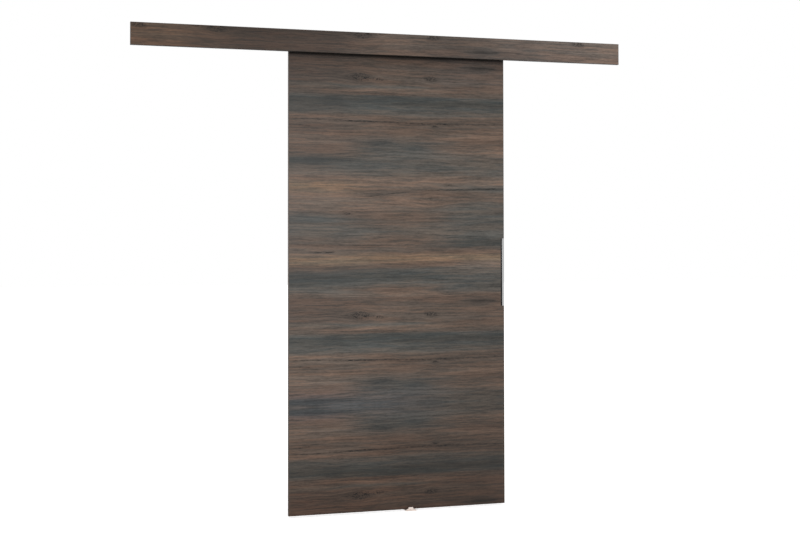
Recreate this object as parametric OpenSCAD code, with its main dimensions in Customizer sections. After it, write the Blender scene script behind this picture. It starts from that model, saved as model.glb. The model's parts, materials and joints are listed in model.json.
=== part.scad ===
// Wall-hung sliding door: a laminated leaf on two trolleys in a top track on the wall,
// with a cover fascia, an edge handle and a floor guide.
// X runs along the wall to the right, Y into the wall and Z up.
// The origin is on the floor, in the middle of the floor guide, under the leaf.

/* [Leaf] */
// Width of the leaf over its edge bands
leaf_w = 1000; // [800:1:1300]
// Height of the leaf over its edge bands
leaf_h = 2040; // [1600:1:2500]
// Thickness of the leaf
leaf_t = 18; // [15:0.5:25]
// Thickness of each edge band
band_t = 1; // [0.5:0.1:2]
// Gap between the floor and the leaf
floor_gap = 7; // [5:0.5:15]
// Distance from the leaf's left edge to the floor guide, with the leaf at rest
guide_from_left = 552.5; // [300:0.5:650]
// Least length of leaf that stays past the middle of the floor guide
guide_keep = 40; // [30:1:100]

/* [Edge handle] */
// Length of the edge handle
handle_l = 307; // [150:1:600]
// Height of the handle's middle above the floor
handle_z = 1056; // [800:1:1200]
// Width of the handle from the leaf's edge inwards
handle_w = 16; // [14:0.5:24]
// Width of the handle's front lip
lip_w = 9; // [7:0.5:11]
// Thickness of the handle's walls
handle_wall = 1.5; // [1.2:0.1:2.5]
// Number of screws that hold the handle
handle_screw_count = 3; // [2:1:5]
// Bore of the access holes for the handle's screws
handle_access_d = 8; // [7.5:0.5:10]

/* [Fascia] */
// Height of the fascia
fascia_h = 96; // [85:1:160]
// Thickness of the fascia
fascia_t = 16; // [14:0.5:22]
// Gap between the fascia's back and the leaf's front
fascia_gap = 30; // [16:0.5:60]
// Height of leaf that the fascia covers
fascia_lap = 27.5; // [10:0.5:60]
// Length of fascia left of the leaf when it is slid fully left
fascia_over_left = 275; // [60:0.5:400]
// Length of fascia right of the leaf when it is slid fully right
fascia_over_right = 45.5; // [30:0.5:400]

/* [Track] */
// Thickness of the track's walls
track_wall = 2.2; // [1.8:0.1:3]
// Width of the slot along the underside of the track
slot_w = 12; // [10.5:0.5:13]
// Distance from each end of the fascia to the end of the track
track_inset = 25; // [5:1:60]
// Space above the wheels inside the track
wheel_headroom = 3.6; // [3.2:0.1:8]
// Space between the lock nuts and the track
track_gap = 7; // [4:0.5:20]

/* [Brackets] */
// Number of wall brackets, each with a fascia bracket
bracket_count = 4; // [2:1:6]
// Distance from the track's end to the middle of the first bracket
bracket_inset = 80; // [40:1:200]
// Length of a wall bracket along the track
wall_bracket_l = 50; // [44:1:90]
// Thickness of the wall brackets
wall_bracket_t = 3; // [2:0.5:5]
// Space between the track's back and the wall brackets
track_back_gap = 3; // [2:0.5:30]
// Distance between the two wall holes of a bracket
wall_hole_gap = 28; // [24:1:60]
// Bore of the wall holes
wall_hole_d = 5.5; // [4.5:0.5:8]
// Height from the track's underside down to the wall holes
wall_hole_drop = 14; // [10:1:30]
// Length of a fascia bracket along the fascia
fascia_bracket_l = 40; // [24:1:80]
// Thickness of the fascia brackets
fascia_bracket_t = 2; // [1.5:0.5:4]
// Height of a fascia bracket's front leg
fascia_bracket_h = 62; // [50:1:80]
// Diameter of the bolts that hold the track
track_bolt_d = 6; // [5:1:6]

/* [Trolleys] */
// Distance from each edge of the leaf to its trolley's middle
trolley_inset = 110; // [75:1:250]
// Diameter of the wheels
wheel_d = 22; // [20:0.5:28]
// Width of the wheels
wheel_w = 7; // [6:0.5:9]
// Distance between the two axles of a trolley
wheel_base = 60; // [50:1:120]
// Outer diameter of the ball bearings
bearing_d = 16; // [14:0.5:17]
// Width of the ball bearings
bearing_w = 5; // [4:0.5:5.5]
// Diameter of the axles
axle_d = 5; // [4:0.5:6]
// Diameter of the hanging bolts
hanging_bolt_d = 8; // [6:1:8]
// Height of the trolley body
trolley_h = 14; // [10:0.5:16]
// Thickness of the hanger plates
plate_t = 3; // [2:0.5:5]
// Length of a hanger plate along the leaf
plate_l = 110; // [100:1:130]

/* [Stops] */
// Length of an end stop along the track
stop_l = 30; // [24:1:60]
// Length of the rubber buffer in front of an end stop
buffer_l = 6; // [3:0.5:15]

/* [Floor guide] */
// Length of the guide's base along the leaf
guide_l = 50; // [44:1:100]
// Depth of the guide's base across the leaf
guide_depth = 44; // [40:1:46]
// Thickness of the guide's base
guide_base_t = 3; // [2:0.5:4]
// Height of the guide's cheeks above the floor
guide_h = 15; // [12:0.5:40]
// Length of the guide's cheeks along the leaf
cheek_l = 21; // [12:1:24]
// Thickness of the guide's cheeks
cheek_t = 3.6; // [2.5:0.1:5]
// Clearance between each cheek and the leaf
cheek_gap = 0.8; // [0.5:0.1:2]
// Distance between the guide's two floor holes
guide_hole_gap = 34; // [34:1:80]
// Bore of the guide's floor holes
guide_hole_d = 4.5; // [4:0.5:5]

/* [Hidden] */
$fn = 48;
BRACKETS = [for (i = [1 : bracket_count]) i];
SIDES = ["left", "right"];
WHEELS = [1 : 4];

// Small allowances
eps = 0.01;
cut = 1; // how far a cut runs past the face it opens
screw_clear = 0.05;
thread_clear = 0.05;
running_clear = 0.03;
seat_clear = 0.02;
bolt_play = 0.5;
stop_gap = 0.5;

// Leaf
leaf_x0 = -guide_from_left;
leaf_x1 = leaf_x0 + leaf_w;
leaf_z0 = floor_gap;
leaf_z1 = leaf_z0 + leaf_h;
handle_z0 = handle_z - handle_l / 2;
handle_z1 = handle_z + handle_l / 2;
handle_x0 = leaf_x1 - handle_w;
handle_screw_inset = 40;
handle_chamfer = 0.6;
travel_right = guide_from_left - guide_keep;
travel_left = leaf_w - guide_from_left - guide_keep;

// Screws: shank diameter, head diameter and length
handle_screw = [3.5, 6.5, 25];
hanger_screw = [4.5, 8.5, 40];
fascia_screw = [3.5, 6.6, 14];
pilot_extra = 0.5; // how much deeper than its screw a pilot hole is

// Bolts and nuts; af is the distance across the flats
bolt_head_h = 5;
bolt_head_af = 13;
lock_nut_h = 5;
track_bolt_head_h = 2.2;
track_bolt_head_d = 10;
track_nut_h = 5;
track_nut_af = 10;
bolt_chamfer = 1;
stop_screw_d = 5;
stop_screw_z0 = 3;
stop_socket_af = 2.5;
stop_socket_h = 2.5;

// Hanger plates
bolt_head_gap = 1;
bridge_under = plate_t + bolt_head_h + bolt_head_gap;
bridge_half = 27;
plate_margin = 1;
plate_w = leaf_t - 2 * plate_margin;
plate_z1 = leaf_z1 + bridge_under + plate_t;
foot_screw_from_bridge = 8;
foot_screw_from_end = 7;
foot_screw_xs = [bridge_half + foot_screw_from_bridge, plate_l / 2 - foot_screw_from_end];

// Trolleys and wheels
trolley_side = 1.5;
trolley_w = hanging_bolt_d + 2 * trolley_side;
trolley_nose = 5;
trolley_l = wheel_base + wheel_d + 2 * trolley_nose;
wheel_gap = 1.3;
wheel_y = trolley_w / 2 + wheel_gap + wheel_w / 2;
wheel_outer_gap = 2;
track_z0 = plate_z1 + lock_nut_h + track_gap;
axle_z = track_z0 + track_wall + wheel_d / 2 + seat_clear;
trolley_xs = [leaf_x0 + trolley_inset, leaf_x1 - trolley_inset];
boss_wall = 1.5;
boss_d = axle_d + 2 * boss_wall;
rivet_h = 0.9;
rivet_flange = 1.1;
rivet_bevel = 0.5;
hanging_bolt_top_gap = 0.5;

// Wheels and bearings
wheel_lip = 0.8;
wheel_bevel = 0.6;
race_inner_t = 1.4;
race_outer_t = 1.8;
shield_recess = 0.3;

// Track
track_half = wheel_y + wheel_w / 2 + wheel_outer_gap + track_wall;
track_h = wheel_d + wheel_headroom + 2 * track_wall;
track_z1 = track_z0 + track_h;
fascia_x0 = leaf_x0 - travel_left - fascia_over_left;
fascia_x1 = leaf_x1 + travel_right + fascia_over_right;
track_x0 = fascia_x0 + track_inset;
track_x1 = fascia_x1 - track_inset;
bracket_step = (track_x1 - track_x0 - 2 * bracket_inset) / (bracket_count - 1);
bracket_xs = [for (i = BRACKETS) track_x0 + bracket_inset + (i - 1) * bracket_step];
track_hole_d = track_bolt_d + bolt_play;

// Wall brackets
wall_y = track_half + track_back_gap + wall_bracket_t;
wall_hole_z = track_z0 - wall_hole_drop;
wall_leg_below_holes = 12;
wall_leg_z0 = wall_hole_z - wall_leg_below_holes;
wall_bracket_y0 = -14;
wall_bend_r = 5;

// Fascia and its brackets
fascia_y1 = -(leaf_t / 2 + fascia_gap);
fascia_y0 = fascia_y1 - fascia_t;
fascia_z0 = leaf_z1 - fascia_lap;
fascia_z1 = fascia_z0 + fascia_h;
fascia_leg_z1 = track_z1 + wall_bracket_t + fascia_bracket_t;
fascia_leg_z0 = fascia_leg_z1 - fascia_bracket_h;
fascia_bracket_y1 = 9;
fascia_bend_r = 4;
fascia_screw_rises = [12, 38];

// End stops
stop_h = 17;
stop_side_gap = 0.4;
stop_half = track_half - track_wall - stop_side_gap;
stop_tongue_gap = 0.5;
stop_tongue = slot_w / 2 - stop_tongue_gap;
buffer_d = 11;
buffer_bevel = 1;
buffer_stem_d = 5;
buffer_hole_l = 6;
buffer_stem_l = buffer_hole_l - 0.5;
stop_face_left = trolley_xs[0] - trolley_l / 2 - travel_left - stop_gap - buffer_l;
stop_face_right = trolley_xs[1] + trolley_l / 2 + travel_right + stop_gap + buffer_l;
stop_screw_insets = [10, 6];
stop_screw_xs = [stop_screw_insets[0], stop_l - stop_screw_insets[1]];

// Floor guide
cheek_y0 = leaf_t / 2 + cheek_gap;
cheek_y1 = cheek_y0 + cheek_t;
cheek_chamfer = 1.5;
rib_t = 3;
rib_below_top = 4;
rib_foot_inset = 2;
rib_root = 1; // how far the rib runs into its cheek
shoulder_h = 7;
shoulder_foot_inset = 1.5;
guide_corner_r = 3;
guide_sink = 1; // depth of the countersink, which widens by the same all round

// Colours
wood_colour = [0.33, 0.28, 0.25];
band_colour = [0.29, 0.24, 0.21];
steel_colour = [0.70, 0.71, 0.72];
alu_colour = [0.78, 0.79, 0.80];
satin_colour = [0.62, 0.62, 0.61];
nylon_colour = [0.88, 0.84, 0.80];
wheel_colour = [0.93, 0.93, 0.91];
zinc_colour = [0.55, 0.56, 0.57];
rubber_colour = [0.10, 0.10, 0.10];

function is_left(side) = side == "left";
function side_index(side) = is_left(side) ? 0 : 1;
function is_first_axle(i) = i <= 2;
function wheel_sign_y(i) = i % 2 == 1 ? -1 : 1;
function axle_x(side, i) = trolley_xs[side_index(side)] + (is_first_axle(i) ? -1 : 1) * wheel_base / 2;

// Box from its low corner to its high corner
module box(low, high) {
    translate(low) cube(high - low);
}

// Countersunk wood screw with its head's face at z = 0 and its tip downwards
module wood_screw(screw) {
    shank_r = screw[0] / 2;
    head_h = (screw[1] - screw[0]) / 2;
    tip_h = screw[0];
    tip_r = shank_r / 5;
    translate([0, 0, -head_h]) cylinder(r1 = shank_r, r2 = screw[1] / 2, h = head_h);
    translate([0, 0, -screw[2] + tip_h]) cylinder(r = shank_r, h = screw[2] - tip_h - head_h);
    translate([0, 0, -screw[2]]) cylinder(r1 = tip_r, r2 = shank_r, h = tip_h);
}

// Space that a wood screw needs, with the clearance all round
module wood_screw_hole(screw) {
    shank_r = screw[0] / 2 + screw_clear;
    head_h = (screw[1] - screw[0]) / 2;
    translate([0, 0, -head_h]) cylinder(r1 = shank_r, r2 = shank_r + head_h, h = head_h);
    translate([0, 0, -eps]) cylinder(r = shank_r + head_h, h = cut);
    translate([0, 0, -screw[2] - pilot_extra]) cylinder(r = shank_r, h = screw[2]);
}

// Hexagon, by the distance across its flats, standing on z = 0
module hexagon(af, h) {
    cylinder(d = af / cos(30), h = h, $fn = 6);
}

// Strip bent at a right angle: one leg along +X, the other down along -Y, corner at the origin
module bent_section(across, down, t, r) {
    difference() {
        translate([r, -r]) circle(r);
        translate([r, -r]) circle(r - t);
        translate([r, -3 * r]) square(4 * r);
        translate([-r, -3 * r]) square([4 * r, 2 * r]);
    }
    translate([r, -t]) square([across - r, t]);
    translate([0, -down]) square([t, down - r]);
}

// Places children at the axis of each handle screw, pointing into the leaf
module at_handle_screws() {
    step = (handle_l - 2 * handle_screw_inset) / (handle_screw_count - 1);
    for (i = [0 : handle_screw_count - 1])
        translate([handle_x0 + handle_wall, 0, handle_z0 + handle_screw_inset + i * step])
            rotate([0, 90, 0]) children();
}

// Places children at each screw of both hanger plates
module at_hanger_screws() {
    for (x = trolley_xs)
        for (sx = foot_screw_xs)
            for (m = [-1, 1])
                translate([x + m * sx, 0, leaf_z1 + plate_t]) children();
}

// Places children at each screw of the fascia brackets, pointing into the fascia
module at_fascia_screws() {
    for (x = bracket_xs)
        for (rise = fascia_screw_rises)
            translate([x, fascia_y1 + fascia_bracket_t, fascia_leg_z0 + rise]) rotate([-90, 0, 0]) children();
}

module top_track() {
    inner_half = track_half - track_wall;
    color(alu_colour) difference() {
        translate([track_x0, 0, 0]) rotate([90, 0, 90]) linear_extrude(track_x1 - track_x0) difference() {
            translate([-track_half, track_z0]) square([2 * track_half, track_h]);
            translate([-inner_half, track_z0 + track_wall])
                square([2 * inner_half, track_h - 2 * track_wall]);
            translate([-slot_w / 2, track_z0 - cut]) square([slot_w, track_wall + 2 * cut]);
        }
        for (x = bracket_xs) translate([x, 0, track_z1 - track_wall - cut])
            cylinder(d = track_hole_d, h = track_wall + 2 * cut);
    }
}

module track_bolts() {
    head_z = track_z1 - track_wall - track_bolt_head_h;
    shank_l = track_wall + wall_bracket_t + fascia_bracket_t + track_nut_h;
    color(steel_colour) for (x = bracket_xs) translate([x, 0, head_z]) {
        cylinder(d = track_bolt_head_d, h = track_bolt_head_h);
        translate([0, 0, track_bolt_head_h]) cylinder(d = track_bolt_d, h = shank_l);
    }
}

module track_nuts() {
    color(steel_colour) for (x = bracket_xs) translate([x, 0, fascia_leg_z1]) difference() {
        hexagon(track_nut_af, track_nut_h);
        translate([0, 0, -cut]) cylinder(d = track_bolt_d + 2 * thread_clear, h = track_nut_h + 2 * cut);
    }
}

module wall_bracket(i) {
    x = bracket_xs[i - 1];
    leg_h = track_z1 + wall_bracket_t - wall_leg_z0;
    color(steel_colour) difference() {
        translate([x + wall_bracket_l / 2, wall_y, track_z1 + wall_bracket_t])
            rotate([90, 0, -90]) linear_extrude(wall_bracket_l)
                bent_section(wall_y - wall_bracket_y0, leg_h, wall_bracket_t, wall_bend_r);
        translate([x, 0, track_z1 - cut]) cylinder(d = track_hole_d, h = wall_bracket_t + 2 * cut);
        for (m = [-1, 1])
            translate([x + m * wall_hole_gap / 2, wall_y + cut, wall_hole_z])
                rotate([90, 0, 0]) cylinder(d = wall_hole_d, h = wall_bracket_t + 2 * cut);
    }
}

module fascia_bracket(i) {
    x = bracket_xs[i - 1];
    across = fascia_bracket_y1 - fascia_y1;
    color(steel_colour) difference() {
        translate([x - fascia_bracket_l / 2, fascia_y1, fascia_leg_z1])
            rotate([90, 0, 90]) linear_extrude(fascia_bracket_l)
                bent_section(across, fascia_bracket_h, fascia_bracket_t, fascia_bend_r);
        translate([x, 0, fascia_leg_z1 - fascia_bracket_t - cut])
            cylinder(d = track_hole_d, h = fascia_bracket_t + 2 * cut);
        at_fascia_screws() wood_screw_hole(fascia_screw);
    }
}

module fascia_board() {
    low = [fascia_x0 + band_t, fascia_y0, fascia_z0 + band_t];
    high = [fascia_x1 - band_t, fascia_y1, fascia_z1 - band_t];
    color(wood_colour) difference() {
        box(low, high);
        at_fascia_screws() wood_screw_hole(fascia_screw);
    }
}

module fascia_band(low_x, low_z, high_x, high_z) {
    color(band_colour) box([low_x, fascia_y0, low_z], [high_x, fascia_y1, high_z]);
}

module fascia_band_top() {
    fascia_band(fascia_x0 + band_t, fascia_z1 - band_t, fascia_x1 - band_t, fascia_z1);
}

module fascia_band_bottom() {
    fascia_band(fascia_x0 + band_t, fascia_z0, fascia_x1 - band_t, fascia_z0 + band_t);
}

module fascia_band_left() {
    fascia_band(fascia_x0, fascia_z0, fascia_x0 + band_t, fascia_z1);
}

module fascia_band_right() {
    fascia_band(fascia_x1 - band_t, fascia_z0, fascia_x1, fascia_z1);
}

module fascia_screws() {
    color(steel_colour) at_fascia_screws() wood_screw(fascia_screw);
}

// Places children in the frame of an end stop: +X runs from its buffer face towards the track's end
module at_stop(side) {
    if (is_left(side)) translate([stop_face_left, 0, track_z0]) mirror([1, 0, 0]) children();
    else translate([stop_face_right, 0, track_z0]) children();
}

module end_stop(side) {
    z1 = track_wall + seat_clear + stop_h;
    color(zinc_colour) at_stop(side) difference() {
        union() {
            box([0, -stop_half, track_wall + seat_clear], [stop_l, stop_half, z1]);
            box([0, -stop_tongue, 0], [stop_l, stop_tongue, track_wall + seat_clear + cut]);
        }
        for (x = stop_screw_xs) translate([x, 0, -cut])
            cylinder(d = stop_screw_d + 2 * thread_clear, h = z1 + 2 * cut);
        translate([-cut, 0, axle_z - track_z0]) rotate([0, 90, 0])
            cylinder(d = buffer_stem_d + 2 * seat_clear, h = buffer_hole_l + cut);
    }
}

module stop_screws() {
    color(steel_colour) for (s = SIDES) at_stop(s)
        for (x = stop_screw_xs) translate([x, 0, stop_screw_z0]) difference() {
            cylinder(d = stop_screw_d, h = track_h - track_wall - stop_screw_z0);
            translate([0, 0, -cut]) hexagon(stop_socket_af, stop_socket_h + cut);
        }
}

module stop_buffer(side) {
    color(rubber_colour) at_stop(side) translate([0, 0, axle_z - track_z0]) rotate([0, 90, 0]) {
        cylinder(d = buffer_stem_d, h = buffer_stem_l);
        translate([0, 0, -buffer_l + buffer_bevel]) cylinder(d = buffer_d, h = buffer_l - buffer_bevel);
        translate([0, 0, -buffer_l])
            cylinder(d1 = buffer_d - 2 * buffer_bevel, d2 = buffer_d, h = buffer_bevel);
    }
}

// Rear cheek with its sloping shoulders and the rib on its back
module guide_cheek() {
    rib_h = guide_h - guide_base_t - rib_below_top;
    rib_foot = guide_depth / 2 - cheek_y1 - rib_foot_inset;
    shoulder_foot = guide_l / 2 - shoulder_foot_inset;
    translate([-cheek_l / 2, cheek_y0, 0]) difference() {
        cube([cheek_l, cheek_t, guide_h]);
        for (x = [0, cheek_l]) translate([x, -cut, guide_h]) rotate([-90, 0, 0])
            cylinder(r = cheek_chamfer, h = cheek_t + 2 * cut, $fn = 4);
    }
    translate([rib_t / 2, cheek_y1, guide_base_t - eps]) rotate([0, -90, 0]) linear_extrude(rib_t)
        polygon([[0, -rib_root], [rib_h, -rib_root], [rib_h, 0], [0, rib_foot]]);
    translate([0, cheek_y1, guide_base_t - eps]) rotate([90, 0, 0]) linear_extrude(cheek_t)
        polygon([
            [-shoulder_foot, 0], [shoulder_foot, 0],
            [cheek_l / 2, shoulder_h], [-cheek_l / 2, shoulder_h]
        ]);
}

module floor_guide() {
    corner = [guide_l / 2 - guide_corner_r, guide_depth / 2 - guide_corner_r];
    color(nylon_colour) difference() {
        union() {
            linear_extrude(guide_base_t) {
                square([guide_l, guide_depth - 2 * guide_corner_r], center = true);
                square([guide_l - 2 * guide_corner_r, guide_depth], center = true);
                for (mx = [-1, 1])
                    for (my = [-1, 1]) translate([mx * corner[0], my * corner[1]]) circle(guide_corner_r);
            }
            guide_cheek();
            mirror([0, 1, 0]) guide_cheek();
        }
        for (m = [-1, 1]) translate([m * guide_hole_gap / 2, 0, 0]) {
            translate([0, 0, -cut]) cylinder(d = guide_hole_d, h = guide_base_t + 2 * cut);
            translate([0, 0, guide_base_t - guide_sink])
                cylinder(d1 = guide_hole_d, d2 = guide_hole_d + 2 * (guide_sink + cut), h = guide_sink + cut);
        }
    }
}

module door_leaf() {
    low = [leaf_x0 + band_t, -leaf_t / 2, leaf_z0 + band_t];
    high = [leaf_x1 - band_t, leaf_t / 2, leaf_z1 - band_t];
    color(wood_colour) difference() {
        box(low, high);
        box([handle_x0, -leaf_t, handle_z0], [leaf_x1 + cut, leaf_t, handle_z1]);
        at_handle_screws() wood_screw_hole(handle_screw);
        at_hanger_screws() wood_screw_hole(hanger_screw);
    }
}

module leaf_band(low_x, low_z, high_x, high_z) {
    color(band_colour) box([low_x, -leaf_t / 2, low_z], [high_x, leaf_t / 2, high_z]);
}

module leaf_band_left() {
    leaf_band(leaf_x0, leaf_z0, leaf_x0 + band_t, leaf_z1);
}

module leaf_band_right_upper() {
    leaf_band(leaf_x1 - band_t, handle_z1, leaf_x1, leaf_z1);
}

module leaf_band_right_lower() {
    leaf_band(leaf_x1 - band_t, leaf_z0, leaf_x1, handle_z0);
}

module leaf_band_top() {
    difference() {
        leaf_band(leaf_x0 + band_t, leaf_z1 - band_t, leaf_x1 - band_t, leaf_z1);
        at_hanger_screws() wood_screw_hole(hanger_screw);
    }
}

module leaf_band_bottom() {
    leaf_band(leaf_x0 + band_t, leaf_z0, leaf_x1 - band_t, leaf_z0 + band_t);
}

module edge_handle() {
    t = handle_wall;
    y0 = -leaf_t / 2;
    y1 = leaf_t / 2;
    lip_t = 2 * t;
    color(satin_colour) difference() {
        translate([handle_x0, 0, handle_z0]) linear_extrude(handle_l) difference() {
            translate([0, y0]) square([handle_w, leaf_t]);
            translate([t, y0 + lip_t]) square([handle_w - 2 * t, leaf_t - lip_t - t]);
            translate([t, y0 - cut]) square([handle_w - lip_w - t, lip_t + 2 * cut]);
            for (y = [y0, y1]) translate([handle_w, y]) circle(handle_chamfer, $fn = 4);
        }
        at_handle_screws() wood_screw_hole(handle_screw);
        at_handle_screws() cylinder(d = handle_access_d, h = handle_w);
    }
}

module handle_screws() {
    color(steel_colour) at_handle_screws() wood_screw(handle_screw);
}

module hanger_plate(side) {
    half = plate_l / 2;
    color(steel_colour) difference() {
        translate([trolley_xs[side_index(side)], 0, leaf_z1]) difference() {
            union() {
                for (m = [-1, 1]) translate([m * (half + bridge_half - plate_t) / 2, 0, plate_t / 2])
                    cube([half - bridge_half + plate_t, plate_w, plate_t], center = true);
                translate([0, 0, (bridge_under + plate_t) / 2])
                    cube([2 * bridge_half, plate_w, bridge_under + plate_t], center = true);
            }
            translate([0, 0, bridge_under / 2 - cut])
                cube([2 * (bridge_half - plate_t), plate_w + 2 * cut, bridge_under + 2 * cut], center = true);
            translate([0, 0, bridge_under - cut])
                cylinder(d = hanging_bolt_d + bolt_play, h = plate_t + 2 * cut);
        }
        at_hanger_screws() wood_screw_hole(hanger_screw);
    }
}

module hanger_screws() {
    color(steel_colour) at_hanger_screws() wood_screw(hanger_screw);
}

module hanging_bolt(side) {
    head_z = leaf_z1 + bridge_under - bolt_head_h;
    top_z = axle_z + trolley_h / 2 - hanging_bolt_top_gap;
    chamfer_z = top_z - head_z - bolt_chamfer;
    color(steel_colour) translate([trolley_xs[side_index(side)], 0, head_z]) {
        hexagon(bolt_head_af, bolt_head_h);
        translate([0, 0, bolt_head_h]) cylinder(d = hanging_bolt_d, h = chamfer_z - bolt_head_h);
        translate([0, 0, chamfer_z])
            cylinder(d1 = hanging_bolt_d, d2 = hanging_bolt_d - 2 * bolt_chamfer, h = bolt_chamfer);
    }
}

module lock_nuts() {
    color(steel_colour) for (x = trolley_xs) translate([x, 0, plate_z1]) difference() {
        hexagon(bolt_head_af, lock_nut_h);
        translate([0, 0, -cut]) cylinder(d = hanging_bolt_d + 2 * thread_clear, h = lock_nut_h + 2 * cut);
    }
}

module trolley_body(side) {
    half_l = trolley_l / 2;
    end_r = trolley_w / 2;
    boss_l = trolley_w + 2 * (wheel_gap + (wheel_w - bearing_w) / 2 - running_clear);
    color(zinc_colour) translate([trolley_xs[side_index(side)], 0, axle_z]) difference() {
        union() {
            translate([0, 0, -trolley_h / 2]) linear_extrude(trolley_h) {
                square([trolley_l - 2 * end_r, trolley_w], center = true);
                for (m = [-1, 1]) translate([m * (half_l - end_r), 0]) circle(end_r);
            }
            for (m = [-1, 1]) translate([m * wheel_base / 2, 0, 0]) rotate([90, 0, 0])
                cylinder(d = boss_d, h = boss_l, center = true);
        }
        cylinder(d = hanging_bolt_d + 2 * thread_clear, h = trolley_h + 2 * cut, center = true);
        for (m = [-1, 1]) translate([m * wheel_base / 2, 0, 0]) rotate([90, 0, 0])
            cylinder(d = axle_d + 2 * seat_clear, h = boss_l + 2 * cut, center = true);
    }
}

module trolley_axles(side) {
    half = wheel_y + bearing_w / 2 + running_clear;
    rivet_d = axle_d + 2 * rivet_flange;
    color(steel_colour) for (m = [-1, 1])
        translate([trolley_xs[side_index(side)] + m * wheel_base / 2, 0, axle_z]) rotate([90, 0, 0]) {
            cylinder(d = axle_d, h = 2 * half, center = true);
            for (e = [0, 1]) mirror([0, 0, e]) translate([0, 0, half - eps])
                cylinder(d1 = rivet_d, d2 = rivet_d - 2 * rivet_bevel, h = rivet_h);
        }
}

// Places children at a wheel's middle, with the axle along Z
module at_wheel(side, i) {
    translate([axle_x(side, i), wheel_sign_y(i) * wheel_y, axle_z]) rotate([90, 0, 0]) children();
}

module wheel(side, i) {
    r = wheel_d / 2;
    seat = bearing_d / 2 + seat_clear;
    lip = seat - wheel_lip;
    half = wheel_w / 2;
    seat_half = bearing_w / 2 + seat_clear;
    color(wheel_colour) at_wheel(side, i) rotate_extrude()
        polygon([
            [seat, -seat_half], [lip, -seat_half], [lip, -half], [r - wheel_bevel, -half],
            [r, -half + wheel_bevel], [r, half - wheel_bevel], [r - wheel_bevel, half],
            [lip, half], [lip, seat_half], [seat, seat_half]
        ]);
}

module bearing(side, i) {
    bore = axle_d / 2 + running_clear;
    inner = bore + race_inner_t;
    rim = bearing_d / 2;
    outer = rim - race_outer_t;
    half = bearing_w / 2;
    shield = half - shield_recess;
    color(steel_colour) at_wheel(side, i) rotate_extrude()
        polygon([
            [bore, -half], [inner, -half], [inner, -shield], [outer, -shield], [outer, -half], [rim, -half],
            [rim, half], [outer, half], [outer, shield], [inner, shield], [inner, half], [bore, half]
        ]);
}

top_track();
track_bolts();
track_nuts();
for (i = BRACKETS) wall_bracket(i);
for (i = BRACKETS) fascia_bracket(i);
fascia_board();
fascia_band_top();
fascia_band_bottom();
fascia_band_left();
fascia_band_right();
fascia_screws();
stop_screws();
floor_guide();
for (s = SIDES) end_stop(s);
for (s = SIDES) stop_buffer(s);
door_leaf();
leaf_band_left();
leaf_band_right_upper();
leaf_band_right_lower();
leaf_band_top();
leaf_band_bottom();
edge_handle();
handle_screws();
hanger_screws();
lock_nuts();
for (s = SIDES) hanger_plate(s);
for (s = SIDES) hanging_bolt(s);
for (s = SIDES) trolley_body(s);
for (s = SIDES) trolley_axles(s);
for (s = SIDES) for (i = WHEELS) wheel(s, i);
for (s = SIDES) for (i = WHEELS) bearing(s, i);
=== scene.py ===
"""Wall-hung sliding door in a dark wood decor: finished meshes, materials, light and camera."""
import json
import math

import bmesh
import bpy
from mathutils import Euler, Matrix, Quaternion, Vector


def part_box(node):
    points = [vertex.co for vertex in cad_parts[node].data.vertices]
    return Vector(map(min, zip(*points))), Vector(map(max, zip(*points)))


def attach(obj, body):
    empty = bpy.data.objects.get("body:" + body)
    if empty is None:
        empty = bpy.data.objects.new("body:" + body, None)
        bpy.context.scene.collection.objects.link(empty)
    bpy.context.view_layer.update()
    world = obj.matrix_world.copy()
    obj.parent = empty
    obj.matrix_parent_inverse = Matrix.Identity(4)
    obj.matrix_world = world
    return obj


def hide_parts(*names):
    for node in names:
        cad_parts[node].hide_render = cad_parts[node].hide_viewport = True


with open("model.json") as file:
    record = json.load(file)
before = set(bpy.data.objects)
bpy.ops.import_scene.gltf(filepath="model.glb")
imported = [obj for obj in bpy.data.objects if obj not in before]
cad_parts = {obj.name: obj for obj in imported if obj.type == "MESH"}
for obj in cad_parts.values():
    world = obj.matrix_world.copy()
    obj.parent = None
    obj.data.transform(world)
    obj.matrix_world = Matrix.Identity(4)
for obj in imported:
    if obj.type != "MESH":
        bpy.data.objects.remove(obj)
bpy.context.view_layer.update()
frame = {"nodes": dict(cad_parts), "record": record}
NODES = frame["nodes"]
BODY_OF = {node: body for body, members in frame["record"]["behaviour"]["bodies"].items()
           for node in members}
MM = 0.001  # metres in a mm
PER_METRE = 1000.0  # mm in a metre
WHITE = (1.0, 1.0, 1.0)

# The leaf's lower left front corner
LEAF_LOW = Vector((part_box("leaf_band_left")[0].x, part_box("door_leaf")[0].y,
                   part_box("leaf_band_bottom")[0].z))

# Details in mm that the CAD boxes don't give
HANDLE_WALL = 1.5
HANDLE_LIP = 9.0
HANDLE_SCREW_END = 40.0  # from each end of the handle to its outer screws
HANGER_SCREW_INSETS = (35.0, 48.0)  # from the hanging bolt
FASCIA_SCREW_RISES = (12.0, 38.0)  # from the lower end of the bracket
STOP_SCREW_INSETS = (10.0, 24.0)  # from the buffer's face of the end stop
AXLE_OFFSET = 30.0  # either side of the trolley's middle
TRACK_WALL = 2.2
TRACK_HALF_SLOT = 6.0
TRACK_BORE = 3.25
BOLT_PITCH = 1.25  # of the hanging bolts

# Wood screws: shank diameter, head diameter and length in mm
HANDLE_SCREW = (3.5, 6.5, 25)
HANGER_SCREW = (4.5, 8.5, 40)
FASCIA_SCREW = (3.5, 6.6, 14)

# Widths in mm of the rounded edges
BOARD_EDGE = 0.2
SHEET_EDGE = 0.25
GUIDE_EDGE = 0.4
CAST_EDGE = 0.5

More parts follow.
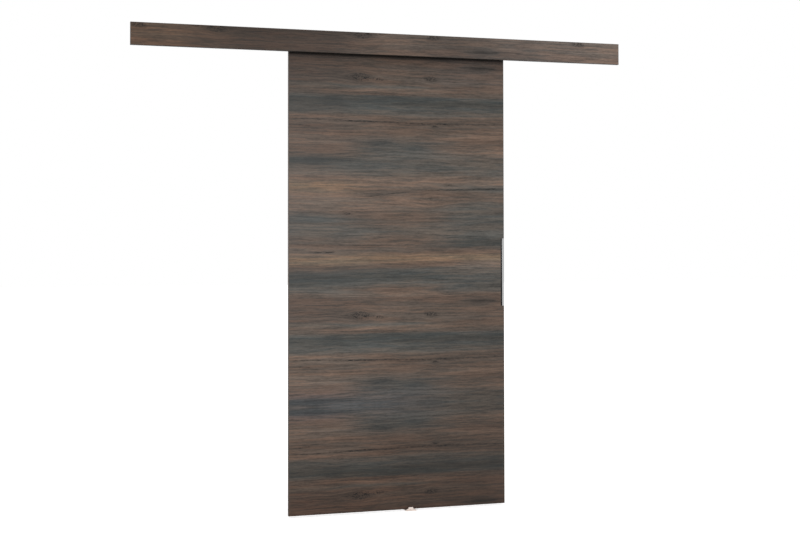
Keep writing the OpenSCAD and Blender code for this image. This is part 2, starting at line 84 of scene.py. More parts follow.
# ---------------------------------------------------------------- camera
EYE = Vector((-1.158, -5.542, 1.186))  # from the leaf's lower left front corner
EYE_TURN = math.radians(16.704)
EYE_TILT = math.radians(1.246)
EYE_ROLL = math.radians(-0.083)
EYE_LENS = 58.42
EYE_SHIFT = -0.0764
SENSOR_WIDTH = 36.0
FAR = 50.0  # metres


def add_camera():
    data = bpy.data.cameras.new("camera")
    data.lens = EYE_LENS
    data.sensor_width = SENSOR_WIDTH
    data.shift_y = EYE_SHIFT
    data.clip_end = FAR
    camera = bpy.data.objects.new("camera", data)
    aim = Euler((math.pi / 2 + EYE_TILT, 0.0, -EYE_TURN)).to_quaternion()
    aim = aim @ Quaternion((0, 0, 1), EYE_ROLL)
    camera.location = LEAF_LOW + EYE
    camera.rotation_euler = aim.to_euler()
    bpy.context.scene.collection.objects.link(camera)
    bpy.context.scene.camera = camera


add_camera()


# ---------------------------------------------------------------- node helpers
class Shader:
    """Builds a node material: its methods add nodes and return the output of the last one."""

    def __init__(self, name):
        self.material = bpy.data.materials.new(name)
        self.material.use_nodes = True
        self.tree = self.material.node_tree
        self.tree.nodes.clear()
        self.bsdf = self.tree.nodes.new("ShaderNodeBsdfPrincipled")
        output = self.tree.nodes.new("ShaderNodeOutputMaterial")
        self.tree.links.new(self.bsdf.outputs[0], output.inputs[0])

    def node(self, kind, inputs=(), **settings):
        made = self.tree.nodes.new(kind)
        for key, value in settings.items():
            setattr(made, key, value)
        for key, value in dict(inputs).items():
            self.put(made.inputs[key], value)
        return made

    def put(self, socket, value):
        if isinstance(value, bpy.types.NodeSocket):
            self.tree.links.new(value, socket)
        else:
            socket.default_value = value

    def set(self, socket, value):
        """Sets or links one socket of the surface shader, by its name."""
        self.put(self.bsdf.inputs[socket], value)

    def math(self, operation, a, b=0.0, c=0.0, clamp=False):
        made = self.node("ShaderNodeMath", operation=operation, use_clamp=clamp)
        for socket, value in zip(made.inputs, (a, b, c)):
            self.put(socket, value)
        return made.outputs[0]

    def add(self, a, b):
        return self.math("ADD", a, b)

    def sub(self, a, b):
        return self.math("SUBTRACT", a, b)

    def mul(self, a, b):
        return self.math("MULTIPLY", a, b)

    def madd(self, a, b, c):
        return self.math("MULTIPLY_ADD", a, b, c)

    def smooth(self, value, low, high, to_low=0.0, to_high=1.0):
        made = self.node("ShaderNodeMapRange", interpolation_type="SMOOTHSTEP")
        for socket, number in zip(made.inputs, (value, low, high, to_low, to_high)):
            self.put(socket, number)
        return made.outputs[0]

    def bell(self, value):
        """1 where value is 0, fading to nothing past 2 either side."""
        return self.math("EXPONENT", self.mul(self.mul(value, value), -1.0))

    def near(self, value, middle, fade):
        """1 where value is at the middle; fade says how fast it falls off either side."""
        return self.bell(self.mul(self.sub(value, middle), fade))

    def position(self):
        """x, y and z of the point at rest, in metres; it moves with the piece."""
        place = self.node("ShaderNodeTexCoord").outputs["Object"]
        split = self.node("ShaderNodeSeparateXYZ", {0: place})
        return split.outputs[0], split.outputs[1], split.outputs[2]

    def vector(self, x, y, z):
        return self.node("ShaderNodeCombineXYZ", {0: x, 1: y, 2: z}).outputs[0]

    def noise(self, vector, scale=1.0, detail=2.0, rough=0.5, distort=0.0):
        made = self.node("ShaderNodeTexNoise", {"Vector": vector, "Scale": scale, "Detail": detail,
                                                "Roughness": rough, "Distortion": distort})
        return made.outputs["Fac"]

    def ramp(self, value, stops):
        """Colour ramp; stops are (place, colour) in rising order."""
        made = self.node("ShaderNodeValToRGB", {0: value})
        made.color_ramp.interpolation = "EASE"
        elements = made.color_ramp.elements
        while len(elements) < len(stops):
            elements.new(0.5)
        for element, (place, colour) in zip(elements, stops):
            element.position = place
        for element, (place, colour) in zip(elements, stops):
            element.color = (*colour, 1.0)
        return made.outputs[0]

    def mix(self, fac, a, b, blend="MIX"):
        """Mixes two colours."""
        made = self.node("ShaderNodeMix", data_type="RGBA", blend_type=blend)
        for name, value in (("Factor_Float", fac), ("A_Color", a), ("B_Color", b)):
            if isinstance(value, tuple):
                value = (*value, 1.0)
            self.put(next(s for s in made.inputs if s.identifier == name), value)
        return next(s for s in made.outputs if s.identifier == "Result_Color")

    def times(self, a, b):
        """Product of two colours."""
        return self.mix(1.0, a, b, "MULTIPLY")

    def shade(self, colour, light):
        """A colour made lighter or darker by a number."""
        return self.times(colour, self.vector(light, light, light))

    def vary(self, noise, spread, base=0.0):
        """The base with noise added, which swings by half the spread either way."""
        return self.madd(self.sub(noise, 0.5), spread, base)

    def choose(self, fac, a, b):
        """The number a where fac is 0 and b where it is 1."""
        return self.add(self.mul(self.sub(b, a), fac), a)

    def bump(self, height, strength, distance):
        made = self.node("ShaderNodeBump", {"Height": height, "Strength": strength,
                                            "Distance": distance})
        self.set("Normal", made.outputs[0])


def srgb(r, g, b):
    """Linear colour of a tone that is given as an eye reads it, 0 to 255."""
    return tuple(((v / 255 + 0.055) / 1.055) ** 2.4 for v in (r, g, b))


# ---------------------------------------------------------------- wood decor
DECOR_LIGHT = 0.50  # brightness of the whole decor
CHARCOAL = srgb(66, 68, 66)
SLATE = srgb(80, 80, 77)
GREY = srgb(93, 88, 82)
UMBER = srgb(88, 74, 65)
BROWN = srgb(98, 84, 74)
TAN = srgb(115, 98, 86)
HONEY = srgb(128, 107, 87)

# The printed repeat: (place up the repeat in mm, tone), at its left, middle and right
TILE_LEFT = [
    (950, BROWN), (985, GREY), (1015, CHARCOAL), (1045, CHARCOAL), (1080, BROWN), (1110, HONEY), (1150, TAN),
    (1190, BROWN), (1230, GREY), (1265, GREY), (1300, SLATE), (1345, TAN), (1390, TAN), (1440, HONEY),
    (1480, TAN), (1515, GREY), (1555, CHARCOAL), (1600, BROWN), (1645, TAN), (1700, BROWN), (1745, TAN),
    (1765, GREY), (1785, SLATE), (1820, CHARCOAL), (1838, SLATE), (1850, BROWN), (1868, BROWN), (1885, GREY),
    (1902, UMBER), (1930, UMBER), (2030, UMBER),
]
TILE_MIDDLE = [
    (950, TAN), (985, BROWN), (1012, GREY), (1038, CHARCOAL), (1065, SLATE), (1090, BROWN), (1120, HONEY),
    (1155, BROWN), (1200, BROWN), (1240, GREY), (1280, BROWN), (1320, BROWN), (1375, TAN), (1420, BROWN),
    (1455, TAN), (1500, GREY), (1535, SLATE), (1575, GREY), (1622, SLATE), (1665, BROWN), (1742, BROWN),
    (1766, GREY), (1785, SLATE), (1818, CHARCOAL), (1838, CHARCOAL), (1852, BROWN), (1868, TAN), (1885, GREY),
    (1905, BROWN), (1930, BROWN), (2030, UMBER),
]
TILE_RIGHT = [
    (950, BROWN), (985, SLATE), (1025, SLATE), (1060, GREY), (1095, TAN), (1120, HONEY), (1150, BROWN),
    (1185, CHARCOAL), (1235, GREY), (1290, SLATE), (1340, GREY), (1400, BROWN), (1430, GREY), (1465, TAN),
    (1510, GREY), (1555, GREY), (1600, TAN), (1630, BROWN), (1665, TAN), (1710, BROWN), (1745, BROWN),
    (1768, GREY), (1790, SLATE), (1822, CHARCOAL), (1838, SLATE), (1851, BROWN), (1930, BROWN), (2030, UMBER),
]
TILE_LOW = 950
TILE_HIGH = 2030
TILE_WIDTH = 1000
MIDDLE_FROM, MIDDLE_FULL = 0.12 * TILE_WIDTH, 0.45 * TILE_WIDTH  # where the left melts into the middle
RIGHT_FROM, RIGHT_FULL = 0.55 * TILE_WIDTH, 0.85 * TILE_WIDTH  # where the middle melts into the right
# Knots of the repeat: place in mm from the left and up, half length, half height, darkness
KNOTS = [(320, 1925, 46, 17, 1.0), (412, 1917, 26, 8, 0.6), (645, 1927, 30, 11, 0.8),
         (225, 1757, 34, 10, 0.2), (545, 1172, 34, 12, 0.2), (655, 1388, 48, 16, 0.25),
         (265, 1318, 20, 5, 0.8), (735, 1450, 18, 4, 0.7), (668, 1712, 14, 5, 0.8)]
# Stains of the repeat, given like the knots
STAINS = [(885, 1979, 95, 11, 0.75), (90, 1560, 160, 10, 0.2),
          (950, 1435, 110, 8, 0.25), (420, 1628, 90, 9, 0.25)]
# Cracks of the repeat: left end, right end (mm), half width, darkness
CRACKS = [((-40, 1737), (400, 1726), 3.6, 0.7), ((200, 1730), (800, 1721), 4.0, 0.75),
          ((650, 1722), (1040, 1728), 3.4, 0.6), ((-40, 1710), (110, 1702), 3.6, 0.7),
          ((320, 1392), (570, 1421), 3.0, 0.6), ((540, 1422), (1040, 1436), 4.0, 0.65),
          ((100, 1147), (215, 1152), 4.5, 0.9), ((-40, 1182), (560, 1178), 2.2, 0.45),
          ((-40, 1322), (520, 1331), 2.6, 0.45), ((520, 1590), (900, 1583), 2.4, 0.4),
          ((60, 1468), (420, 1462), 2.2, 0.3), ((150, 1858), (640, 1850), 2.6, 0.4)]
# Layers of the figure: turns per mm along and across the grain, number of the layer, detail, roughness
# and distortion
LAYERS = {
    "drift": (0.0016, 0.006, 0.0, 3.0, 0.55, 0.0),
    "swirl": (0.009, 0.035, 4.0, 3.0, 0.6, 0.0),
    "streak": (0.0035, 0.055, 1.0, 3.0, 0.6, 0.0),
    "line": (0.0065, 0.12, 7.0, 4.0, 0.65, 0.0),
    "grain": (0.014, 0.40, 2.0, 4.0, 0.65, 0.0),
    "pores": (0.035, 0.75, 3.0, 2.0, 0.5, 0.0),
    "fibre": (0.045, 0.20, 8.0, 3.0, 0.6, 0.0),
    "curl": (0.05, 0.16, 5.0, 3.0, 0.6, 0.6),
    "warmth": (0.0025, 0.03, 6.0, 3.0, 0.55, 0.0),
}
# How far the layers bend the bands and the cracks, in mm
DRIFT_BEND = 24.0
SWIRL_BEND = 7.0
CRACK_BEND = 9.0
# How strongly the layers change the brightness
STREAK_SWING = 0.13
LINE_SWING = 0.20
FIBRE_SWING = 0.9
GRAIN_SWING = 1.2
PORE_DEPTH = 0.35
KNOT_FADE = (0.8, 0.45)  # how fast the bend round a knot fades along and across, against its size
KNOT_BEND = 0.55  # how far the grain bends round a knot, in half heights
KNOT_GAIN = 1.7
CRACK_END = 0.2  # share of a crack's length in which it fades out, at each end
DARKEST = 0.8  # share of the light that knots, cracks and stains take away where they are full
STAIN_COOLING = 0.5
WARM = (1.08, 0.98, 0.92)
COOL = (0.95, 1.0, 1.03)
CHIPS = [(0.3, srgb(120, 92, 62)), (0.7, srgb(190, 160, 120))]  # the chipboard core
CHIP_SCALE = 420.0
FACE_SKIN = 0.3 * MM  # thickness of the printed face


def knot(s, x, t, place):
    """Bend of the grain (mm) and darkness that one knot adds at (x, t)."""
    cx, ct, half_x, half_t, dark = place
    dx = s.mul(s.sub(x, cx), 1.0 / half_x)
    dt = s.mul(s.sub(t, ct), 1.0 / half_t)
    fade_x, fade_t = KNOT_FADE
    near = s.mul(s.bell(s.mul(dx, fade_x)), s.bell(s.mul(dt, fade_t)))
    bend = s.mul(s.mul(near, dt), -KNOT_BEND * half_t)
    core = s.mul(s.mul(s.bell(dx), s.bell(dt)), dark)
    return bend, core


def crack(s, x, t, wander, line):
    """Darkness of one thin crack, which fades out at both ends."""
    (x0, t0), (x1, t1), half, dark = line
    along = s.mul(s.sub(x, x0), 1.0 / (x1 - x0))
    off = s.sub(t, s.add(s.madd(along, t1 - t0, t0), wander))
    body = s.bell(s.mul(off, 1.0 / half))
    ends = s.mul(s.smooth(along, 0.0, CRACK_END), s.smooth(along, 1.0, 1.0 - CRACK_END))
    return s.mul(s.mul(body, ends), dark)


def tile_colour(s, x, t):
    """Colour of the printed bands: three columns that melt into each other from left to right."""
    span = TILE_HIGH - TILE_LOW
    place = s.mul(s.sub(t, TILE_LOW), 1.0 / span)
    left, middle, right = (s.ramp(place, [((height - TILE_LOW) / span, tone) for height, tone in tile])
                           for tile in (TILE_LEFT, TILE_MIDDLE, TILE_RIGHT))
    left_part = s.mix(s.smooth(x, MIDDLE_FROM, MIDDLE_FULL), left, middle)
    return s.mix(s.smooth(x, RIGHT_FROM, RIGHT_FULL), left_part, right)


def board_core(s, node):
    """1 inside a board, between its two printed faces."""
    low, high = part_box(node)
    y = s.position()[1]
    off = s.math("ABSOLUTE", s.sub(y, (low.y + high.y) / 2))
    return s.math("LESS_THAN", off, (high.y - low.y) / 2 - FACE_SKIN)


def wood_decor(s, x, t, light, painted_tint, inner, stain_x):
    """Finishes a decor material from x along the grain and t across it, both in mm.

    inner is 1 in the chipboard core; stain_x is x without the mirroring, because the stains aren't
    mirrored with the print. light scales the brightness and on the leaf carries painted light and shade;
    the tint is painted light as a colour.
    """
    def layer(name, across):
        along_turns, across_turns, number, detail, rough, distort = LAYERS[name]
        place = s.vector(s.mul(x, along_turns), s.mul(across, across_turns), number)
        return s.noise(place, 1.0, detail, rough, distort)

    swirl = layer("swirl", t)
    warped = s.add(t, s.vary(layer("drift", t), DRIFT_BEND, s.vary(swirl, SWIRL_BEND)))
    crack_bend = s.vary(swirl, CRACK_BEND)
    dark = 0.0
    for place in KNOTS:
        bend, core = knot(s, x, t, place)
        warped = s.add(warped, bend)
        dark = s.add(dark, core)
    split = 0.0
    for place in CRACKS:
        split = s.add(split, crack(s, x, t, crack_bend, place))
    stain = 0.0
    for place in STAINS:
        stain = s.add(stain, knot(s, stain_x, warped, place)[1])
    line = layer("line", warped)
    grain = layer("grain", warped)
    curl = layer("curl", warped)
    pits = s.smooth(layer("pores", warped), 0.60, 0.74, 0.0, PORE_DEPTH)
    tone = s.add(s.smooth(layer("streak", warped), 0.36, 0.64, -STREAK_SWING, STREAK_SWING),
                 s.smooth(line, 0.40, 0.60, 1.0 - LINE_SWING, 1.0 + LINE_SWING))
    tone = s.vary(layer("fibre", warped), FIBRE_SWING, tone)
    tone = s.vary(grain, GRAIN_SWING, tone)
    tone = s.mul(tone, s.sub(1.0, pits))
    squiggle = s.smooth(s.math("ABSOLUTE", s.sub(curl, 0.5)), 0.0, 0.06, 1.3, 0.35)
    split = s.mul(s.math("MINIMUM", split, 1.0), s.smooth(curl, 0.34, 0.64, 1.35, 0.35))
    dark = s.madd(s.math("MINIMUM", s.mul(dark, KNOT_GAIN), 1.0), squiggle, s.add(split, stain))
    tone = s.mul(tone, s.math("SUBTRACT", 1.0, s.mul(dark, DARKEST), clamp=True))
    tone = s.mul(tone, light)
    warmth = s.vary(line, 1.0, s.madd(stain, -STAIN_COOLING, layer("warmth", warped)))
    colour = tile_colour(s, x, warped)
    colour = s.mix(s.smooth(warmth, 0.38, 0.62), s.times(colour, COOL), s.times(colour, WARM))
    printed = s.shade(s.times(colour, painted_tint), tone)
    chips = s.noise(s.vector(*s.position()), CHIP_SCALE, 3.0, 0.7)
    s.set("Base Color", s.mix(inner, printed, s.ramp(chips, CHIPS)))
    s.set("Roughness", s.smooth(grain, 0.3, 0.7, 0.50, 0.62))
    s.set("Specular IOR Level", 0.22)
    s.bump(s.madd(pits, -1.6, grain), 0.35, 0.2 * MM)
    return s.material


FOLD_HEIGHT = 475  # the print is turned over below this height
SEAM_HEIGHT = 950  # the lowest joint between two repeats
FOLD_PLACE = 1530  # place in the repeat at the fold
# Painted light and painted shadow on the leaf's print
LOWER_HALF = (700.0, 1100.0)  # heights between which the lower half's light gives way to the upper's
FASCIA_SHADE = (2024.0, 1998.0)  # heights where the shade under the fascia is full and where it ends
SHADE_LEFT = 0.15  # share of the light left in that shade
# Painted light: tints of the leaf's parts, for the colour of the light on them
FOOT_PAINTED_TINT = (1.10, 0.96, 0.88)
FOLD_PAINTED_TINT = (1.12, 1.13, 1.24)
FOLD_LEFT_PAINTED_TINT = (1.32, 1.24, 1.34)
UPPER_LEFT_PAINTED_TINT = (0.99, 0.93, 0.89)
UPPER_RIGHT_PAINTED_TINT = (1.04, 1.10, 1.18)


def painted_leaf_light(s, x_mm, y, z_mm):
    """Painted light on the leaf's print: its brightness falls to the right below and rises to the right
    above, and a painted shadow lies across the top of the front under the fascia.
    """
    light = s.mul(s.smooth(z_mm, *LOWER_HALF, 0.91, 0.845), s.smooth(z_mm, 50.0, 600.0, 0.87, 1.0))
    to_right = s.mul(s.sub(x_mm, TILE_WIDTH / 2), 2.0 / TILE_WIDTH)
    light = s.madd(to_right, s.smooth(z_mm, *LOWER_HALF, -0.18, 0.12), light)
    lower_right = s.smooth(x_mm, 250.0, 500.0, 1.0, 0.90)
    light = s.mul(light, s.choose(s.smooth(z_mm, 650.0, 520.0), 1.0, lower_right))
    light = s.madd(s.near(z_mm, 1700.0, 0.008), -0.05, light)
    light = s.madd(s.near(z_mm, 920.0, 0.011), 0.07, light)
    # painted shadow under the fascia, on the leaf's front only
    front = s.math("LESS_THAN", y, 0.0)
    return s.mul(light, s.choose(front, 1.0, s.smooth(z_mm, *FASCIA_SHADE, SHADE_LEFT, 1.0)))


def painted_leaf_tint(s, x_mm, z_mm):
    """Painted light on the leaf's print: tints for the colour of the light on its parts; each of the parts
    fades into what is round it.
    """
    from_fold = s.math("ABSOLUTE", s.sub(z_mm, FOLD_HEIGHT))
    parts = [
        (s.mul(s.near(z_mm, 485.0, 0.016), s.smooth(x_mm, 850.0, 450.0)), FOLD_PAINTED_TINT),
        (s.mul(s.near(from_fold, 36.0, 0.045), s.smooth(x_mm, 340.0, 150.0)), FOLD_LEFT_PAINTED_TINT),
        (s.mul(s.near(z_mm, 1630.0, 0.005), s.smooth(x_mm, 450.0, 100.0)), UPPER_LEFT_PAINTED_TINT),
        (s.mul(s.smooth(z_mm, 1840.0, 1940.0), s.smooth(x_mm, 500.0, 800.0)), UPPER_RIGHT_PAINTED_TINT),
    ]
    painted_tint = s.mix(s.smooth(z_mm, 450.0, 50.0), WHITE, FOOT_PAINTED_TINT)
    for where, colour in parts:
        painted_tint = s.mix(where, painted_tint, colour)
    return painted_tint


def leaf_decor():
    s = Shader("decor_leaf_painted_light")
    x, y, z = s.position()
    x_mm = s.mul(s.sub(x, LEAF_LOW.x), PER_METRE)
    z_mm = s.mul(z, PER_METRE)
    folded = s.add(s.math("ABSOLUTE", s.sub(z_mm, FOLD_HEIGHT)), FOLD_PLACE)
    t = s.choose(s.math("GREATER_THAN", z_mm, SEAM_HEIGHT), folded, z_mm)
    light = s.mul(painted_leaf_light(s, x_mm, y, z_mm), DECOR_LIGHT)
    return wood_decor(s, x_mm, t, light, painted_leaf_tint(s, x_mm, z_mm), board_core(s, "door_leaf"), x_mm)


FASCIA_FOLD = 4030.0  # the fascia carries the repeat upside down: place in it plus height, in mm
# Painted light along the fascia: (mm from its left end, brightness, warmth)
FASCIA_PAINTED_LIGHT = [(0, 0.54, 0.13), (150, 0.46, 0.13), (300, 0.33, 0.10), (560, 0.235, 0.07),
                (830, 0.265, 0.02), (1000, 0.37, 0.0), (1130, 0.44, 0.0), (1430, 0.39, -0.05),
                (1730, 0.56, -0.12), (1980, 0.80, -0.08), (2150, 0.88, -0.05), (2240, 0.90, -0.04)]
FASCIA_GAIN = 2.4  # what the brightnesses above are multiplied by


def fascia_decor():
    s = Shader("decor_fascia_painted_light")
    x, _, z = s.position()
    from_end = s.mul(s.sub(x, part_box("fascia_band_left")[0].x), PER_METRE)
    from_leaf = s.mul(s.sub(x, LEAF_LOW.x), PER_METRE)
    mirrored_x = s.math("PINGPONG", from_leaf, TILE_WIDTH)
    t = s.sub(FASCIA_FOLD, s.mul(z, PER_METRE))
    end = FASCIA_PAINTED_LIGHT[-1][0]
    stops = [(place / end, (light * (1.0 + warmth), light, light * (1.0 - warmth)))
             for place, light, warmth in FASCIA_PAINTED_LIGHT]
    # painted light: the fascia's brightness and warmth along its length
    painted_tint = s.ramp(s.mul(from_end, 1.0 / end), stops)
    core = board_core(s, "fascia_board")
    return wood_decor(s, mirrored_x, t, DECOR_LIGHT * FASCIA_GAIN, painted_tint, core, from_leaf)


def band_decor(name, light):
    """Plain edge band: fine grain along its own length. light scales its brightness; the fascia's lower band
    gets a low one, which paints its shade.
    """
    s = Shader(name)
    x, y, z = s.position()
    along = s.mul(s.add(x, z), 9.0)
    grain = s.noise(s.vector(along, s.mul(y, 900.0), 0.0), 1.0, 4.0, 0.6)
    streak = s.noise(s.vector(s.mul(along, 0.4), s.mul(y, 260.0), 3.0), 1.0, 2.0, 0.5)
    tone = s.vary(grain, 0.9, s.vary(streak, 0.8, DECOR_LIGHT))
    s.set("Base Color", s.shade(UMBER, s.mul(tone, light)))
    s.set("Roughness", s.smooth(grain, 0.3, 0.7, 0.48, 0.6))
    s.set("Specular IOR Level", 0.25)
    s.bump(grain, 0.3, 0.1 * MM)
    return s.material


# ---------------------------------------------------------------- metals and plastics
ZINC = (0.48, 0.50, 0.52)
SATIN = (0.33, 0.33, 0.33)
# painted shade in the handle's finger groove
GROOVE_PAINTED_SHADE = (0.018, 0.014, 0.012)


def metal(name, colour, rough, spread, scale, stretch=1.0):
    """Bare or plated metal; a stretch below 1 draws its fine figure out along x."""
    s = Shader(name)
    x, y, z = s.position()
    fine = s.noise(s.vector(s.mul(x, stretch), y, z), scale, 3.0, 0.6)
    soft = s.noise(s.vector(x, y, z), 35.0, 2.0, 0.5)
    s.set("Base Color", s.shade(colour, s.vary(soft, 0.25, 1.0)))
    s.set("Metallic", 1.0)
    s.set("Roughness", s.smooth(fine, 0.3, 0.7, rough - spread, rough + spread))
    s.bump(fine, 0.15, 0.2 * MM)
    return s.material


def galvanised():
    """Hot-dip zinc with its crystal spangle."""
    s = Shader("galvanised_sheet")
    x, y, z = s.position()
    wobble = s.noise(s.vector(x, y, z), 260.0, 2.0, 0.5)
    place = s.vector(s.madd(wobble, 0.004, x), s.madd(wobble, 0.004, y), z)
    cells = s.node("ShaderNodeTexVoronoi", {"Vector": place, "Scale": 150.0}, feature="F1")
    crystal = s.node("ShaderNodeSeparateXYZ", {0: cells.outputs["Color"]}).outputs[0]
    s.set("Base Color", s.shade(ZINC, s.vary(crystal, 0.22, s.vary(wobble, 0.12, 1.0))))
    s.set("Metallic", 1.0)
    s.set("Roughness", s.madd(crystal, 0.16, 0.34))
    s.bump(wobble, 0.1, 0.2 * MM)
    return s.material


def handle_metal():
    """Satin anodised profile, with painted shade in near black inside its finger groove."""
    s = Shader("satin_handle_painted_groove_shade")
    x, y, z = s.position()
    low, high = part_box("edge_handle")
    wall = HANDLE_WALL * MM
    lip_left = high.x - HANDLE_LIP * MM
    fine = s.noise(s.vector(x, y, s.mul(z, 0.02)), 1500.0, 3.0, 0.6)
    # the finger groove's inner faces, which get painted shade
    behind_lip = s.mul(s.math("GREATER_THAN", y, low.y + 0.5 * MM),
                       s.math("LESS_THAN", x, high.x - 0.7 * wall))
    groove = s.mul(s.math("MAXIMUM", behind_lip, s.math("LESS_THAN", x, lip_left - 0.3 * MM)),
                   s.math("LESS_THAN", y, high.y - 0.7 * wall))
    s.set("Base Color", s.mix(groove, s.shade(SATIN, s.vary(fine, 0.2, 1.0)), GROOVE_PAINTED_SHADE))
    s.set("Metallic", s.sub(1.0, groove))
    s.set("Roughness", s.choose(groove, s.smooth(fine, 0.3, 0.7, 0.34, 0.48), 0.7))
    s.bump(fine, 0.12, 0.1 * MM)
    return s.material


def plastic(name, colour, rough):
    s = Shader(name)
    x, y, z = s.position()
    fine = s.noise(s.vector(x, y, z), 900.0, 2.0, 0.5)
    soft = s.noise(s.vector(x, y, z), 60.0, 2.0, 0.5)
    s.set("Base Color", s.shade(colour, s.vary(soft, 0.12, 1.0)))
    s.set("Roughness", s.smooth(fine, 0.3, 0.7, rough - 0.06, rough + 0.06))
    s.bump(fine, 0.2, 0.1 * MM)
    return s.material


MATERIALS = {
    "decor_leaf_painted_light": leaf_decor(),
    "decor_fascia_painted_light": fascia_decor(),
    "band": band_decor("decor_band", 1.0),
    # painted shade: the fascia's lower band darkened to near black
    "painted_shade_band": band_decor("decor_band_painted_shade", 0.12),
    "track": metal("anodised_track", (0.62, 0.63, 0.64), 0.32, 0.06, 900.0, 0.02),
    "satin": handle_metal(),
    "galvanised": galvanised(),
    "plated": metal("zinc_plated", (0.55, 0.56, 0.57), 0.30, 0.05, 500.0),
    "casting": metal("zinc_casting", (0.30, 0.31, 0.32), 0.50, 0.08, 700.0),
    "turned": metal("turned_steel", (0.45, 0.45, 0.46), 0.25, 0.05, 800.0),
    "wheel": plastic("white_acetal", (0.80, 0.80, 0.77), 0.35),
    "guide": plastic("off_white_nylon", srgb(214, 201, 193), 0.42),
    "rubber": plastic("black_rubber", (0.02, 0.02, 0.02), 0.7),
}

# The start of a node's name and its material; the first that fits counts
FINISHES = [
    ("door_leaf", "decor_leaf_painted_light"), ("leaf_band", "band"), ("edge_handle", "satin"),
    ("fascia_board", "decor_fascia_painted_light"), ("fascia_band_bottom", "painted_shade_band"), ("fascia_band", "band"),
    ("top_track", "track"), ("track_", "plated"), ("floor_guide", "guide"),
    ("wall_bracket", "galvanised"), ("fascia_bracket", "galvanised"), ("hanger_plate", "galvanised"),
    ("fascia_screws", "plated"), ("stop_screws", "plated"), ("handle_screws", "plated"),
    ("hanger_screws", "plated"), ("lock_nuts", "plated"), ("hanging_bolt", "plated"),
    ("end_stop", "casting"), ("trolley_body", "casting"), ("trolley_axles", "turned"),
    ("stop_buffer", "rubber"), ("wheel", "wheel"), ("bearing", "turned"),
]


def finish_of(node):
    return MATERIALS[next(key for start, key in FINISHES if node.startswith(start))]


for node_name, node_object in NODES.items():
    node_object.data.materials.clear()
    node_object.data.materials.append(finish_of(node_name))


# ---------------------------------------------------------------- finished pieces
SMOOTH_BELOW = math.radians(35.0)  # edges flatter than this are shaded smooth
FLAT_BELOW = math.radians(1.0)  # edges flatter than this are merged away
SHARP_ABOVE = math.radians(30.0)  # edges sharper than this are rounded
WELD = 0.002 * MM
RIM_SHARE = 0.475  # radius of a hexagon's flat end over its width across the flats
CORNER_SLOPE = math.tan(math.radians(30.0))  # of a hexagon's turned-down corners


def box_mm(node):
    """Low and high corner of a CAD node in mm."""
    low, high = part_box(node)
    return low / MM, high / MM


def finish_node(node, mesh):
    """Shows a finished mesh in place of a CAD node and lets it ride on the node's body."""
    mesh.shade_smooth()
    mesh.set_sharp_from_angle(angle=SMOOTH_BELOW)
    mesh.materials.clear()
    mesh.materials.append(finish_of(node))
    piece = bpy.data.objects.new(node + "_finished", mesh)
    bpy.context.scene.collection.objects.link(piece)
    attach(piece, BODY_OF[node])
    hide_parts(node)


def mesh_of(bm, name):
    mesh = bpy.data.meshes.new(name + "_mesh")
    bm.to_mesh(mesh)
    bm.free()
    return mesh


def soften(node, width, segments=2, shortest=3.0):
    """Shows a CAD node's shape with its sharp edges rounded by width, in mm.

    Edges shorter than shortest times the width are left alone.
    """
    bm = bmesh.new()
    bm.from_mesh(NODES[node].data)
    bmesh.ops.remove_doubles(bm, verts=bm.verts, dist=WELD)
    bmesh.ops.dissolve_limit(bm, angle_limit=FLAT_BELOW, verts=bm.verts, edges=bm.edges)
    edges = [e for e in bm.edges if len(e.link_faces) == 2 and e.calc_face_angle(0.0) > SHARP_ABOVE
             and e.calc_length() > shortest * width * MM]
    bmesh.ops.bevel(bm, geom=edges, offset=width * MM, segments=segments, profile=0.5,
                    affect="EDGES", clamp_overlap=True)
    finish_node(node, mesh_of(bm, node))


AXIS_TURNS = {
    "Z": Matrix(),
    "X": Matrix.Rotation(math.pi / 2, 4, "Y"),
    "-X": Matrix.Rotation(-math.pi / 2, 4, "Y"),
    "Y": Matrix.Rotation(-math.pi / 2, 4, "X"),
}


def axis_frame(origin, axis="Z"):
    """Frame in mm whose local Z runs along the given axis from the origin."""
    return Matrix.Scale(MM, 4) @ Matrix.Translation(Vector(origin)) @ AXIS_TURNS[axis]


def lathe(bm, rings, place, count=32, closed=False):
    """Joins rings of (radius, height) round local Z.

    Either number may be a function of the angle in degrees; a closed section's last ring joins its first.
    """
    def at(number, angle):
        return number(angle) if callable(number) else number

    made = []
    for radius, height in rings:
        if radius == 0:
            made.append([bm.verts.new(place @ Vector((0, 0, height)))])
            continue
        ring = []
        for step in range(count):
            angle = 360.0 * step / count
            r = at(radius, angle)
            turn = math.radians(angle)
            corner = Vector((r * math.cos(turn), r * math.sin(turn), at(height, angle)))
            ring.append(bm.verts.new(place @ corner))
        made.append(ring)
    pairs = list(zip(made, made[1:]))
    if closed:
        pairs.append((made[-1], made[0]))
    faces = []
    for below, above in pairs:
        for i in range(count):
            j = (i + 1) % count
            corners = [below[i % len(below)], below[j % len(below)],
                       above[j % len(above)], above[i % len(above)]]
            faces.append(bm.faces.new(list(dict.fromkeys(corners))))
    bmesh.ops.recalc_face_normals(bm, faces=faces)


def hexagonal(af):
    """Radius of a hexagon of that width across its flats."""
    return lambda angle: af / 2 / math.cos(math.radians(angle % 60.0 - 30.0))


def corner_drop(af):
    """How far a hexagon's edge falls towards its turned-down corners."""
    return lambda angle: CORNER_SLOPE * (hexagonal(af)(angle) - RIM_SHARE * af)


def cross_recess(reach, width):
    """Radius of a cross recess: arms of that reach and width."""
    def radius(angle):
        off = math.radians(abs((angle + 45.0) % 90.0 - 45.0))
        return min(reach / math.cos(off), width / 2 / max(math.sin(off), 0.001))
    return radius


